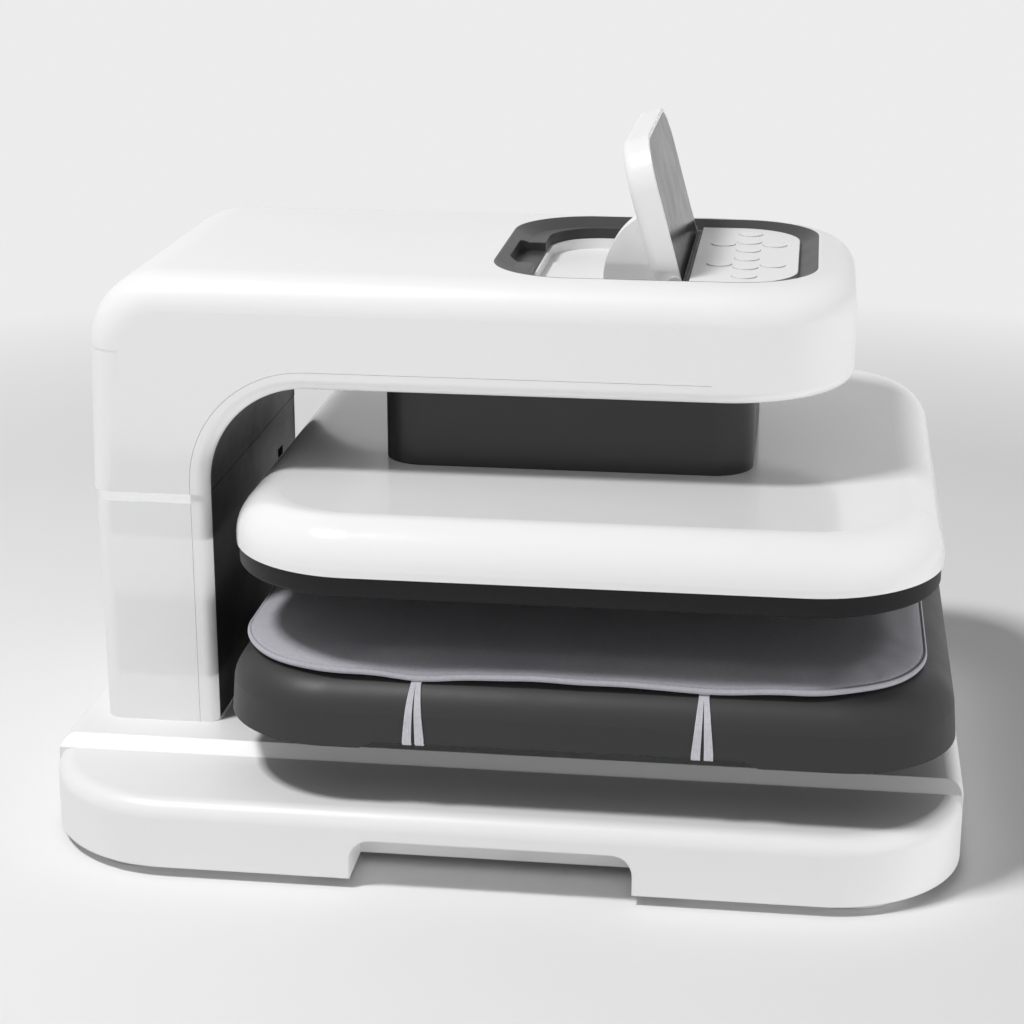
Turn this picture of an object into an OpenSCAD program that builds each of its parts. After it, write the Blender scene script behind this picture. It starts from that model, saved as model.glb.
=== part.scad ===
// Flat heat press: a C-shaped stand with a motor-driven heated platen and a pull-out padded lower tray.
// +X is the front (display and drawer end), +Z is up, and the origin lies on the table under the base.

/* [Base] */
// Length of the base, front to rear
base_l = 528; // [480:1:600]
// Width of the base
base_w = 430; // [424:1:480]
// Corner radius of the base seen from above
base_r = 80; // [50:1:110]
// Height of the foot pads under the base
foot_h = 6; // [4:0.5:10]
// Height of the base wall above the feet
base_h = 40; // [36:1:50]
// Round along the top edge of the base
base_edge = 10; // [4:0.5:14]
// Rise of the raised deck above the base top
deck_rise = 7; // [4:0.5:12]
// Width of the flat of the raised deck
deck_w = 280; // [270:1:320]
// Length of the hand notch in each long side
notch_l = 158; // [120:1:180]
// Height of the hand notch
notch_h = 23.5; // [18:0.5:28]
// Depth of the hand notch
notch_d = 34; // [26:1:40]

/* [Column and arm] */
// Width of the column and the arm
arm_w = 234; // [230:1:250]
// Thickness of the column, front to rear
col_t = 71; // [66:1:84]
// Height of the column from the deck to the bright strip
col_h = 137; // [125:1:150]
// Height of the bright strip
strip_h = 6; // [4:0.5:10]
// Height from the bright strip up to the underside of the arm
throat_h = 64; // [56:1:80]
// Thickness of the arm
arm_t = 65; // [64:1:80]
// Length of the column and arm together
arm_l = 439; // [430:1:470]
// Round of the rear top corner
rear_r = 45; // [30:1:55]
// Round between the column and the underside of the arm
inner_r = 58; // [40:1:62]
// Corner radius of the arm's front end seen from above
front_r = 75; // [30:1:85]
// Round of the column's upright rear edges at the bright strip
arm_edge = 12; // [6:0.5:18]
// Round along the top edges of the arm
top_edge = 21; // [13:0.5:24]
// Distance of the parting seam from the inner edge of the stand
seam_h = 11; // [6:0.5:12]

/* [Control panel] */
// Length of the recess in the arm's top
recess_l = 187; // [186:1:200]
// Width of the recess
recess_w = 190; // [186:1:200]
// Corner radius of the recess
recess_r = 48; // [24:1:56]
// Distance of the recess from the arm's front end
recess_front = 23; // [20:1:30]
// Width of the slanted border round the recess
bezel_w = 11; // [6:0.5:12]
// Height of the display plate
display_h = 82; // [60:1:84]
// Width of the display plate
display_w = 158; // [130:1:159]
// Thickness of the display plate
display_t = 16; // [12:0.5:18]
// Lean of the raised display back from upright, in degrees
display_lean = 15.5; // [10:0.5:25]
// Outer radius of the drum behind the display
drum_r = 41.5; // [36:0.5:45]
// Diameter of a key
key_d = 14.4; // [10:0.2:15]
// Pitch of the middle row of keys
key_pitch = 25; // [20:0.5:26]
// Travel of a key
key_travel = 0.7; // [0.4:0.1:0.8]

/* [Platen] */
// Length of the platen cover
plat_l = 399; // [396:1:420]
// Width of the platen cover
plat_w = 410; // [400:1:420]
// Corner radius of the platen cover
plat_r = 76; // [45:1:90]
// Height of the platen cover
cover_h = 29; // [25:0.5:34]
// Round along the top edge of the platen cover
cover_edge = 25; // [16:0.5:25]
// Height of the dark skirt under the cover
skirt_h = 12; // [7:0.5:14]
// Side of the square heating plate
heat_side = 381; // [360:1:385]
// Corner radius of the heating plate
heat_r = 61; // [40:1:75]
// Thickness of the heating plate
heat_t = 10; // [8:0.5:12]
// Length of the neck that carries the platen
neck_l = 216; // [205:1:225]
// Width of the neck
neck_w = 170; // [168:1:180]
// Corner radius of the neck
neck_r = 24; // [8:1:30]
// Height of the open gap between the pad and the heating plate
press_gap = 37.5; // [35:0.5:50]

/* [Drawer] */
// Length and width of the tray at its foot
tray_side = 413; // [405:1:418]
// Height of the tray
tray_h = 37.5; // [28:0.5:42]
// Lean of the tray's sides: how much smaller its top is on each side
tray_lean = 3; // [2:0.5:10]
// Corner radius of the tray
tray_r = 66; // [50:1:75]
// Gap between the deck and the tray
tray_gap = 29; // [27:0.5:34]
// Side of the square pad
pad_side = 390; // [380:1:398]
// Thickness of the pad in the middle
pad_t = 8.5; // [5:0.5:11]
// Corner radius of the pad
pad_r = 70; // [30:1:80]
// Width of one strand of an elastic strap
strap_w = 5; // [3:0.5:8]
// Distance of the straps from the middle of the row
strap_off = 79; // [60:1:100]

/* [Walls and fits] */
// Wall thickness of the white casings
wall = 3; // [2.5:0.1:3.5]
// Clearance between a moving piece and the hole that it moves in
slide_gap = 1.5; // [0.8:0.1:2]
// Running clearance round shafts, on the radius
run_gap = 0.05; // [0.03:0.01:0.09]
// Diameter of the lead screw
screw_d = 16; // [12:0.5:18]
// Diameter of the guide rods
rod_d = 12; // [10:0.5:14]

/* [Hidden] */
$fn = 64;
tiny = 0.01;
far = 1000;
white = "#f2f2f2";
grey = "#3b3b3d";
steel = "#a9adb1";

// Heights of the stand, from the table up
base_z = foot_h;
base_top = base_z + base_h;
deck_z = base_top + deck_rise;
strip_z = deck_z + col_h;
upper_z = strip_z + strip_h;
arm_z = upper_z + throat_h;
arm_top = arm_z + arm_t;

// Places of the stand along X
col_inset = 18.5;
col_x = -base_l / 2 + col_inset;
col_low_in = 1.4;
col_rear = col_x + col_low_in;
col_front = col_x + col_t;
seam_x = col_front - seam_h;
arm_front = col_x + arm_l;
half_w = arm_w / 2;
half_low = half_w - col_low_in;
low_edge = seam_h - 4;
seam_gap = 0.2;
nose_l = 4;
nose_x = arm_front - front_r - nose_l;

// Base details
deck_slope = 7;
notch_r = 12;
notch_over = 10;
notch_off = 3;
foot_l = 146;
foot_w = 74;
foot_r = 30;
foot_edge = 2;
foot_in_x = 32;
foot_in_y = 11;
fix_d = 3.4;
fix_l = 20;
fix_hole = 4;
fix_head_d = 7;
fix_head_h = 2;
boss_d = 12;
boss_in = 60;
boss_gap = 10;
boss_y = base_w / 2 - foot_in_y - foot_w - boss_gap;

// Column details
panel_margin = 7;
panel_half = half_w - panel_margin;
vents = 8;
vent_w = 70;
vent_h = 2.5;
vent_pitch = 6;
vent_z = 80;
slot_y = 60;
slot_w = 14;
slot_h = 6;
slot_drop = 24;
inlet_w = 28;
inlet_h = 20;
inlet_z = deck_z + 18;
inlet_d = 11;
inlet_wall = 3;
inlet_lip = 4;
inlet_lip_t = 1.5;
switch_y = 45;
switch_w = 21;
switch_h = 15;
switch_d = 10;
switch_wall = 2;
switch_lip = 2;
switch_lip_t = 1;
switch_mid = inlet_z + switch_h / 2;
switch_pivot = col_rear + 3;
rocker_w = switch_w - 2 * switch_wall - 0.4;
pivot_d = 2;

// Frame and drive inside the stand
frame_t = 5;
frame_gap = 9;
frame_x = col_x + wall + frame_gap;
frame_l = 40;
frame_side = 27;
frame_w = arm_w - 2 * frame_side;
beam_drop = 35;
beam_z = arm_top - beam_drop;
beam_t = 10;
stem_w = 76;
head_w = 120;
head_l = 80;
drive_in = 3;
drive_x = arm_front - recess_l - recess_front + drive_in;
motor_off = 31;
motor_x = col_front + motor_off;
motor_boss_d = 20;
motor_boss_h = 2;
motor_d = 56;
motor_h = 25;
pulley_d = 30;
pulley_h = 7;
pulley_gap = 1.5;
pulley_z = beam_z + beam_t + pulley_gap;
belt_t = 1.5;
belt_gap = 0.3;
belt_edge = 1;
shaft_d = 8;
bearing_d = 32;
rod_y = 45;
screw_reach = 45;
screw_low = arm_z - screw_reach;
power_board_w = 120;
power_board_h = 80;
power_board_z = 50;
chip_w = 22;
chip_h = 30;
chip_t = 12;
chip_z = 20;
chip_pitch = 34;
chips = 3;

// Control recess
recess_x = arm_front - recess_front - recess_l / 2;
bezel_d = 5;
liner_z = arm_top - bezel_d;
liner_t = 3;
liner_flange = 2;
liner_flange_gap = 1.5;
finger_l = 22;
finger_w = 60;
finger_r = 8;
finger_d = 2.5;
finger_wall = 2;
finger_back = 4;
hinge_off = 13.5;
hinge_x = recess_x + hinge_off;
hinge_z = liner_z;
hinge_pin_d = 4;
display_front = 4;
display_foot = 4;
display_r = 28;
display_edge = 5;
glass_t = 2;
glass_rim = 2.5;
glass_gap = 0.1;
seat_under_gap = 0.8;
seat_floor = hinge_z + display_front - display_t - seat_under_gap;
seat_end_gap = 4;
seat_x0 = hinge_x - display_h - seat_end_gap;
seat_x1 = hinge_x + display_front + 3;
seat_wall = 1.6;
seat_side_gap = 0.8;
seat_r = display_r + 4;
seat_rim = 6.5;
seat_rim_z = liner_z - seat_rim;
seat_flange = 2;
seat_flange_t = 2;
seat_floor_t = 2;
seat_w = display_w + 2 * (seat_wall + seat_side_gap);
ear_d = 9;
drum_w = 18;
drum_off = 59;
drum_dip = 20;
drum_t = 3;
drum_clear = 1.2;
drum_hub = 7;
pocket_x = hinge_x - drum_r - drum_clear - seat_wall;
pocket_z = hinge_z - drum_r - drum_clear - seat_wall;
pocket_w = drum_w + 2 * (drum_clear + seat_wall);
pocket_y = -drum_off - pocket_w / 2;
drum_span = 90 - display_lean + drum_dip;
panel_x0 = seat_x1 + 1;
panel_x1 = recess_x + recess_l / 2 - bezel_w - 0.5;
panel_gap = 2;
panel_w = recess_w - 2 * bezel_w - 2 * panel_gap;
panel_r = recess_r - bezel_w + 0.5;
panel_t = 2;
panel_top = liner_z + panel_t;
panel_mid = (panel_x0 + panel_x1) / 2;
key_rise = 0.4;
key_hole = key_d + 0.6;
board_t = 1.6;
board_z = liner_z - liner_t - 3.4;
mid_keys = 6;
side_key_x = 15.5;
side_key_y = 30;

// Platen
plat_gap = 21.5;
plat_x = col_front + plat_gap + plat_l / 2;
pad_top = deck_z + tray_gap + tray_h + 1 + pad_t;
heat_z = pad_top + press_gap;
skirt_z = heat_z + 2;
cover_z = skirt_z + skirt_h;
cover_top = cover_z + cover_h;
skirt_inset = 1.5;
heat_edge = 1;
neck_back = 17;
neck_x = plat_x - neck_back;
neck_drop = 14;
neck_top = arm_top - neck_drop;
neck_slot = 3;
cover_t = 4;
cover_hole_side = 12;
cover_hole_r = 10;
plate_frame_t = 4;
plate_frame_l = 250;
plate_frame_w = 180;
plate_frame_r = 12;
plate_frame_z = cover_top - wall - plate_frame_t;
bracket_t = 8;
bracket_z = arm_z + 1;
bracket_l = 60;
bush_wall = 4;
bush_flange = 3;
bush_flange_t = 4;
bush_h = 24;
bush_low = 2;
nut_flange = 5;
nut_low = 4;
leg_y = 67;
leg_t = 6;
post_x = 80;
post_y = 60;
post_d = 14;
post_hole = 18;
mica_t = 1.5;
wool_t = 6;
sheet_in = 10;
thermo_y = 120;
thermo_d = 22;
thermo_h = 9;
thermo_hole = 26;
cover_hole_back = 45;
cover_hole_front = 22;
cover_hole_x0 = drive_x - cover_hole_back;
cover_hole_x1 = neck_x + neck_l / 2 - cover_hole_front;

// Drawer
tray_off = 4;
tray_x = plat_x + tray_off;
tray_z = deck_z + tray_gap;
tray_top = tray_z + tray_h;
tray_edge = 22;
tray_soft = 0.05;
plate_low_t = 3.5;
plate_low_in = 9.5;
plate_low_side = heat_side - 2 * plate_low_in;
plate_low_r = 40;
plate_low_gap = 0.3;
plate_low_up = 1;
rail_y = 100;
rail_in = 17.5;
rail_l = tray_side - 2 * rail_in;
rail_end = 5;
rail_side_gap = 1;
tongue_h = 8;
web_t = 4;
flange_w = 30;
flange_t = 3;
rail_w = 22;
rail_h = 16;
rail_t = 2;
rail_gap = 0.3;
strap_t = 1;
strap_back = 7.5;
strap_x = plat_x - strap_back;
strap_spread = 6;
strap_cut = 4;
strap_cut_l = 225;
strap_cut_end = 12;
strap_start = 80;
strap_under_low = 16;
strap_seat = 0.05;

// Outline with rounded corners, centred
module rounded(lx, ly, r) {
  square([lx - 2 * r, ly], center = true);
  square([lx, ly - 2 * r], center = true);
  for (sx = [-1, 1], sy = [-1, 1])
    translate([sx * (lx / 2 - r), sy * (ly / 2 - r)]) circle(r);
}

// Flat plate with rounded corners, from height z up
module plate(lx, ly, r, z, h) {
  translate([0, 0, z]) linear_extrude(h) rounded(lx, ly, r);
}

// Body with rounded corners whose side follows a drawn profile: the profile runs from 0 to r outwards
// and from z0 to z1 upwards, and goes round the four corners and along the four sides
module prism(lx, ly, r, z0, z1) {
  for (sx = [-1, 1], sy = [-1, 1])
    translate([sx * (lx / 2 - r), sy * (ly / 2 - r), 0]) rotate_extrude() children();
  translate([-(lx / 2 - r), 0, 0]) rotate([90, 0, 90]) linear_extrude(lx - 2 * r)
    run_section(ly / 2 - r, z0, z1) children();
  translate([0, ly / 2 - r, 0]) rotate([90, 0, 0]) linear_extrude(ly - 2 * r)
    run_section(lx / 2 - r, z0, z1) children();
}

// Section of a straight run: the profile on both sides of a plain middle
module run_section(half, z0, z1) {
  translate([-half, z0]) square([2 * half, z1 - z0]);
  translate([half, 0]) children();
  mirror([1, 0]) translate([half, 0]) children();
}

// Side profile with a rounded top edge and a rounded bottom edge
module edge_profile(r, z0, z1, top, bottom) {
  translate([0, z0]) square([r - max(top, bottom), z1 - z0]);
  translate([0, z0 + bottom]) square([r, z1 - z0 - top - bottom]);
  if (top > 0) translate([r - top, z1 - top]) quarter(top, 1);
  if (bottom > 0) translate([r - bottom, z0 + bottom]) quarter(bottom, -1);
}

// Quarter of a disc, up or down
module quarter(r, side) {
  intersection() {
    circle(r);
    translate([0, side > 0 ? 0 : -r]) square(r);
  }
}

// Slab with rounded corners and rounded edges
module slab(lx, ly, r, z0, z1, top, bottom) {
  prism(lx, ly, r, z0, z1) edge_profile(r, z0, z1, top, bottom);
}

// Base

// Outer form of the base, shrunk by a wall thickness for its hollow
module base_form(inset) {
  low = inset > 0 ? base_z - 1 : base_z;
  foot = deck_w / 2 + deck_slope - inset;
  slab(base_l - 2 * inset, base_w - 2 * inset, base_r - inset, low, base_top - inset, base_edge - inset, 0);
  intersection() {
    slab(base_l - 2 * inset, base_w - 2 * inset, base_r - inset, low, deck_z - inset, base_edge - inset, 0);
    rotate([90, 0, 90]) linear_extrude(far, center = true)
      polygon([
        [-foot, base_z + 1], [-foot, base_top - inset],
        [-deck_w / 2 + inset, deck_z - inset], [deck_w / 2 - inset, deck_z - inset],
        [foot, base_top - inset], [foot, base_z + 1]
      ]);
  }
}

// Hand notch in a long side, grown by a wall thickness for its lining
module notch_form(grow, low) {
  for (s = [-1, 1])
    translate([notch_off, s * (base_w / 2 - notch_d / 2 + notch_over), low])
      rotate([90, 0, 0]) linear_extrude(notch_d + 2 * notch_over + 2 * grow, center = true) {
        h = notch_h + base_z - low + grow;
        translate([-notch_l / 2 - grow, 0]) square([notch_l + 2 * grow, h - notch_r]);
        translate([-notch_l / 2 - grow + notch_r, 0]) square([notch_l + 2 * grow - 2 * notch_r, h]);
        for (sx = [-1, 1])
          translate([sx * (notch_l / 2 + grow - notch_r), h - notch_r]) circle(notch_r);
      }
}

module base_shell() {
  color(white) difference() {
    union() {
      difference() {
        base_form(0);
        base_form(wall);
      }
      intersection() {
        base_form(0);
        notch_form(wall, base_z);
      }
      for (p = base_boss) translate([p[0], p[1], base_z + wall]) cylinder(d = boss_d, h = boss_h);
    }
    notch_form(0, base_z - 5);
    for (p = base_boss) translate([p[0], p[1], base_z]) cylinder(d = fix_d, h = fix_l + 2);
  }
}

// Places of the screws that hold the bottom plate, in bosses that hang from the deck
boss_h = deck_z - wall / 2 - base_z - wall;
base_boss = [for (sx = [-1, 1], sy = [-1, 0, 1]) [sx * (base_l / 2 - boss_in), sy * boss_y]];

module base_bottom_plate() {
  color(white) difference() {
    plate(base_l - 2 * wall - 0.6, base_w - 2 * wall - 0.6, base_r - wall - 0.3, base_z, wall);
    notch_form(wall + 0.3, base_z - 5);
    for (p = base_boss) translate([p[0], p[1], base_z - 1]) cylinder(d = fix_hole, h = wall + 2);
  }
}

module foot_pads() {
  color("#dcdcdc") for (sx = [-1, 1], sy = [-1, 1])
    translate([sx * (base_l / 2 - foot_in_x - foot_l / 2), sy * (base_w / 2 - foot_in_y - foot_w / 2), 0])
      slab(foot_l, foot_w, foot_r, 0, base_z, 0, foot_edge);
}

module base_screws() {
  color(steel) for (p = base_boss) translate([p[0], p[1], base_z - fix_head_h]) {
    cylinder(d = fix_head_d, h = fix_head_h);
    cylinder(d = fix_d, h = fix_l);
  }
}

// Column

// Column seen from above, with rounded rear corners
module column_outline(inset, front) {
  r = arm_edge - inset;
  x0 = col_x + inset;
  w = half_w - inset;
  translate([x0 + r, -w]) square([front - x0 - r, 2 * w]);
  translate([x0, -w + r]) square([r + 1, 2 * (w - r)]);
  for (s = [-1, 1]) translate([x0 + r, s * (w - r)]) circle(r);
}

module column_shell() {
  color(white) difference() {
    translate([0, 0, deck_z]) linear_extrude(col_h) column_outline(col_low_in, seam_x - seam_gap);
    translate([0, 0, deck_z - 1]) linear_extrude(col_h + 2) column_outline(col_low_in + wall, seam_x + 1);
    // Air slots, inlet and switch openings in the rear
    for (i = [0 : vents - 1])
      translate([col_rear - 1, -vent_w / 2, deck_z + vent_z + vent_pitch * i])
        cube([wall + 2, vent_w, vent_h]);
    translate([col_rear - 1, -inlet_w / 2, inlet_z]) cube([wall + 2, inlet_w, inlet_h]);
    translate([col_rear - 1, switch_y - switch_w / 2, inlet_z]) cube([wall + 2, switch_w, switch_h]);
  }
}

// Frame round the inner panel: it closes the column towards the throat
module column_inner_frame() {
  h = col_h + strip_h;
  r = low_edge;
  w = half_low;
  color(white) difference() {
    translate([0, 0, deck_z]) linear_extrude(h) {
      translate([seam_x, -w]) square([seam_h - r, 2 * w]);
      translate([seam_x, -w + r]) square([seam_h, 2 * (w - r)]);
      for (s = [-1, 1]) translate([col_front - r, s * (w - r)]) quarter(r, s);
    }
    translate([seam_x - 1, -w + wall, deck_z - 1]) cube([seam_h - wall + 1, 2 * (w - wall), h + 2]);
    translate([col_front - wall - 1, -panel_half, deck_z + 1]) cube([wall + 2, 2 * panel_half, h]);
  }
}

module column_trim_strip() {
  color("#d8dadd") difference() {
    translate([0, 0, strip_z]) linear_extrude(strip_h) column_outline(col_low_in, seam_x);
    translate([0, 0, strip_z - 1]) linear_extrude(strip_h + 2) column_outline(col_low_in + wall, seam_x + 1);
  }
}

module column_inner_panel() {
  color(grey) difference() {
    translate([col_front - wall, -panel_half, deck_z + 1])
      cube([wall - 0.5, 2 * panel_half, col_h + strip_h - 1.2]);
    translate([col_front - wall - 1, slot_y, strip_z - slot_drop]) cube([wall + 2, slot_w, slot_h]);
  }
}

// Arm

// Side view of the stand's inner corner: what lies below the line at a distance d from the inner edge
module inner_zone(d) {
  r = inner_r + d;
  difference() {
    translate([col_front - d, 0]) square([far, arm_z + d]);
    translate([col_front - d, arm_z + d - r]) difference() {
      square(r);
      translate([r, 0]) circle(r);
    }
  }
}

// Outer form of the upper column and the arm, shrunk by a wall thickness for its hollow
module arm_form(inset) {
  e = top_edge - inset;
  w = half_w - inset;
  top = arm_top - inset;
  x0 = col_x + inset;
  x1 = arm_front - inset;
  rr = rear_r - inset;
  fr = front_r - inset;
  low = inset > 0 ? upper_z - 1 : upper_z;
  difference() {
    union() {
      upper_column(inset, low, top - rr);
      // Bend at the rear
      translate([x0 + rr, 0, top - rr]) rotate([90, 0, 0]) mirror([1, 0, 0]) rotate_extrude(angle = 90)
        side_section(rr, w, e);
      // Straight run with rounded long edges
      translate([x0 + rr, 0, 0]) rotate([90, 0, 90]) linear_extrude(x1 - fr - x0 - rr)
        top_section(low, top, w, e);
      // Front end
      for (s = [-1, 1]) translate([x1 - fr, s * (w - fr), 0]) rotate_extrude()
        edge_profile(fr, low, top, e, 0);
      translate([x1 - fr, w - fr, 0]) rotate([90, 0, 0]) linear_extrude(2 * (w - fr))
        edge_profile(fr, low, top, e, 0);
    }
    // Open throat under the arm
    rotate([90, 0, 0]) linear_extrude(far, center = true) inner_zone(inset);
  }
}

// Upper column below the bend: two crossed blocks and a cone in each upright edge, which grows rounder
// towards the bend
module upper_column(inset, low, high) {
  e0 = arm_edge - inset;
  e1 = top_edge - inset;
  x0 = col_x + inset;
  x1 = col_x + rear_r;
  w = half_w - inset;
  turn = atan(sqrt(2) * (e1 - e0) / (high - low));
  run = (high - low) / cos(turn);
  over = 5;
  grow = (e1 - e0) * over / run;
  thin = sqrt(2 / (1 + 1 / pow(cos(turn), 2)));
  translate([0, w, 0]) rotate([90, 0, 0]) linear_extrude(2 * w)
    polygon([[x0 + e0, low], [x1, low], [x1, high], [x0 + e1, high]]);
  translate([x0, 0, 0]) rotate([90, 0, 90]) linear_extrude(x1 - x0)
    polygon([[-w + e0, low], [w - e0, low], [w - e1, high], [-w + e1, high]]);
  for (s = [-1, 1]) intersection() {
    translate([x0 + e0, s * (w - e0), low]) rotate([0, turn, -45 * s]) translate([0, 0, -over])
      cylinder(r1 = thin * (e0 - grow), r2 = thin * (e1 + grow), h = run + 2 * over);
    translate([x0 - 1, -far / 2, low]) cube([far, far, high - low]);
  }
}

// Section of the bend: from its axis out to the rounded edges
module side_section(r, w, e) {
  translate([0, -w]) square([r - e, 2 * w]);
  translate([0, -w + e]) square([r, 2 * (w - e)]);
  for (s = [-1, 1]) translate([r - e, s * (w - e)]) circle(e);
}

// Section of the straight run: two rounded top edges
module top_section(z0, z1, w, e) {
  translate([-w, z0]) square([2 * w, z1 - e - z0]);
  translate([-w + e, z0]) square([2 * (w - e), z1 - z0]);
  for (s = [-1, 1]) translate([s * (w - e), z1 - e]) circle(e);
}

// What has to go at a sharp edge to leave it with a round of radius r: the edge lies at the origin, and
// the body to its left and above
module edge_cut(r) {
  difference() {
    translate([-r, -1]) square(r + 1);
    translate([-r, r]) circle(r);
  }
}

// Rounds the edges round the underside: down the inner corner, along the arm and round its front end
module low_edge_cut() {
  r = low_edge;
  bend_x = col_front + inner_r;
  bend_z = arm_z - inner_r;
  end_x = arm_front - front_r;
  end_y = half_w - front_r;
  for (s = [0, 1]) mirror([0, s, 0]) {
    translate([0, 0, upper_z - 1]) linear_extrude(bend_z - upper_z + 1)
      translate([col_front, half_w]) rotate(90) edge_cut(r);
    translate([bend_x, 0, bend_z]) rotate([90, 0, 0]) mirror([1, 0, 0]) rotate_extrude(angle = 90)
      translate([inner_r, -half_w]) rotate(-90) edge_cut(r);
    translate([bend_x, 0, 0]) rotate([90, 0, 90]) linear_extrude(end_x - bend_x)
      translate([half_w, arm_z]) edge_cut(r);
    translate([end_x, end_y, 0]) rotate_extrude(angle = 90) translate([front_r, arm_z]) edge_cut(r);
  }
  translate([0, end_y, 0]) rotate([90, 0, 0]) linear_extrude(2 * end_y)
    translate([arm_front, arm_z]) edge_cut(r);
}

// Skin of the upper casing with its round edges, before the seam parts it
module arm_skin() {
  difference() {
    arm_form(0);
    low_edge_cut();
    arm_form(wall);
  }
}

module arm_shell() {
  color(white) difference() {
    arm_skin();
    rotate([90, 0, 0]) linear_extrude(far, center = true) inner_zone(seam_h);
    translate([recess_x, 0, 0]) plate(recess_l, recess_w, recess_r, arm_top - wall - 1, wall + 2);
  }
}

module under_cover() {
  color(white) difference() {
    intersection() {
      arm_skin();
      // The seam shows as a fine gap and closes up towards the front end
      rotate([90, 0, 0]) linear_extrude(far, center = true) {
        inner_zone(seam_h - seam_gap);
        intersection() {
          inner_zone(seam_h);
          translate([nose_x, 0]) square(far);
        }
      }
    }
    // Window of the inner corner liner and the opening that the neck slides through
    translate([0, panel_half, 0]) rotate([90, 0, 0]) linear_extrude(2 * panel_half)
      liner_side(wall + 1, -1, upper_z - 1, liner_end);
    translate([neck_x, 0, 0])
      plate(neck_l + 2 * slide_gap, neck_w + 2 * slide_gap, neck_r + slide_gap, arm_z - 1, wall + 2);
  }
}

// Side view of the liner that goes up the inner face and round the inner corner, between two distances
// from the inner edge
module liner_side(deep, shallow, low, end) {
  intersection() {
    difference() {
      inner_zone(deep);
      inner_zone(shallow);
    }
    translate([col_front - deep - 1, low]) square([end - col_front + deep + 1, far]);
  }
}

liner_end = col_front + inner_r - 4;

module arm_inner_liner() {
  color(grey) translate([0, panel_half, 0]) rotate([90, 0, 0]) linear_extrude(2 * panel_half)
    liner_side(wall, 0.5, upper_z + 0.2, liner_end - 0.2);
}

// Frame and drive

module column_frame() {
  h = beam_z - deck_z;
  color(steel) {
    translate([frame_x, -frame_w / 2, deck_z]) cube([frame_t, frame_w, h]);
    for (s = [-1, 1])
      translate([frame_x, s * (frame_w - frame_t) / 2 - frame_t / 2, deck_z]) cube([frame_l, frame_t, h]);
    translate([frame_x, -frame_w / 2, deck_z]) cube([frame_l, frame_w, frame_t]);
  }
}

module arm_beam() {
  color(steel) difference() {
    union() {
      translate([frame_x, -frame_w / 2, beam_z]) cube([frame_l, frame_w, beam_t]);
      translate([frame_x, -stem_w / 2, beam_z]) cube([drive_x - frame_x, stem_w, beam_t]);
      translate([drive_x - head_l / 2, -head_w / 2, beam_z]) cube([head_l, head_w, beam_t]);
    }
    translate([drive_x, 0, beam_z - 1]) cylinder(d = bearing_d, h = beam_t + 2);
    translate([motor_x, 0, beam_z - 1]) cylinder(d = shaft_d + 4, h = beam_t + 2);
    for (s = [-1, 1]) translate([drive_x, s * rod_y, beam_z - 1]) cylinder(d = rod_d, h = beam_t + 2);
  }
}

module drive_motor() {
  color("#6d7175") {
    translate([motor_x, 0, beam_z - motor_h]) cylinder(d = motor_d, h = motor_h);
    translate([motor_x, 0, beam_z - motor_h - motor_boss_h]) cylinder(d = motor_boss_d, h = motor_h);
  }
}

// Toothless side view of the belt: two turns joined by straight runs
module belt_outline(d) {
  for (x = [motor_x, drive_x]) translate([x, 0]) circle(d = d);
  translate([motor_x, -d / 2]) square([drive_x - motor_x, d]);
}

module drive_belt() {
  inner_d = pulley_d + 2 * belt_gap;
  color("#1c1c1e") translate([0, 0, pulley_z + belt_edge])
    linear_extrude(pulley_h - 2 * belt_edge) difference() {
      belt_outline(inner_d + 2 * belt_t);
      belt_outline(inner_d);
    }
}

module screw_bearing() {
  color(steel) translate([drive_x, 0, beam_z]) difference() {
    cylinder(d = bearing_d, h = beam_t);
    translate([0, 0, -1]) cylinder(d = screw_d + 2 * run_gap, h = beam_t + 2);
  }
}

module guide_rods() {
  color(steel) for (s = [-1, 1])
    translate([drive_x, s * rod_y, screw_low]) cylinder(d = rod_d, h = beam_z + beam_t - screw_low);
}

module lead_screw() {
  color(steel) translate([drive_x, 0, screw_low]) cylinder(d = screw_d, h = pulley_z + pulley_h - screw_low);
}

// Flanged pulley with a bore, from height z up
module pulley(x, bore) {
  translate([x, 0, pulley_z]) difference() {
    cylinder(d = pulley_d, h = pulley_h);
    translate([0, 0, -1]) cylinder(d = bore, h = pulley_h + 2);
  }
}

module screw_pulley() {
  color("#c9cbce") pulley(drive_x, screw_d);
}

module motor_pulley() {
  color("#c9cbce") {
    pulley(motor_x, shaft_d);
    translate([motor_x, 0, beam_z + 0.3]) cylinder(d = shaft_d, h = pulley_z + pulley_h - beam_z - 0.3);
  }
}

module power_board() {
  z = deck_z + power_board_z;
  color("#2f5d3a") translate([frame_x + frame_t, -power_board_w / 2, z])
    cube([board_t, power_board_w, power_board_h]);
  color("#222222") for (i = [0 : chips - 1])
    translate([frame_x + frame_t + board_t, (i - (chips - 1) / 2) * chip_pitch - chip_w / 2, z + chip_z])
      cube([chip_t, chip_w, chip_h]);
}

module power_inlet() {
  color("#1d1d1f") difference() {
    union() {
      translate([col_rear - inlet_lip_t, -inlet_w / 2, inlet_z]) cube([inlet_d, inlet_w, inlet_h]);
      translate([col_rear - inlet_lip_t, -inlet_w / 2 - inlet_lip, inlet_z - inlet_lip])
        cube([inlet_lip_t, inlet_w + 2 * inlet_lip, inlet_h + 2 * inlet_lip]);
    }
    translate([col_rear - inlet_lip_t - 1, -inlet_w / 2 + inlet_wall, inlet_z + inlet_wall])
      cube([inlet_d - inlet_lip_t, inlet_w - 2 * inlet_wall, inlet_h - 2 * inlet_wall]);
  }
}

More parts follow.
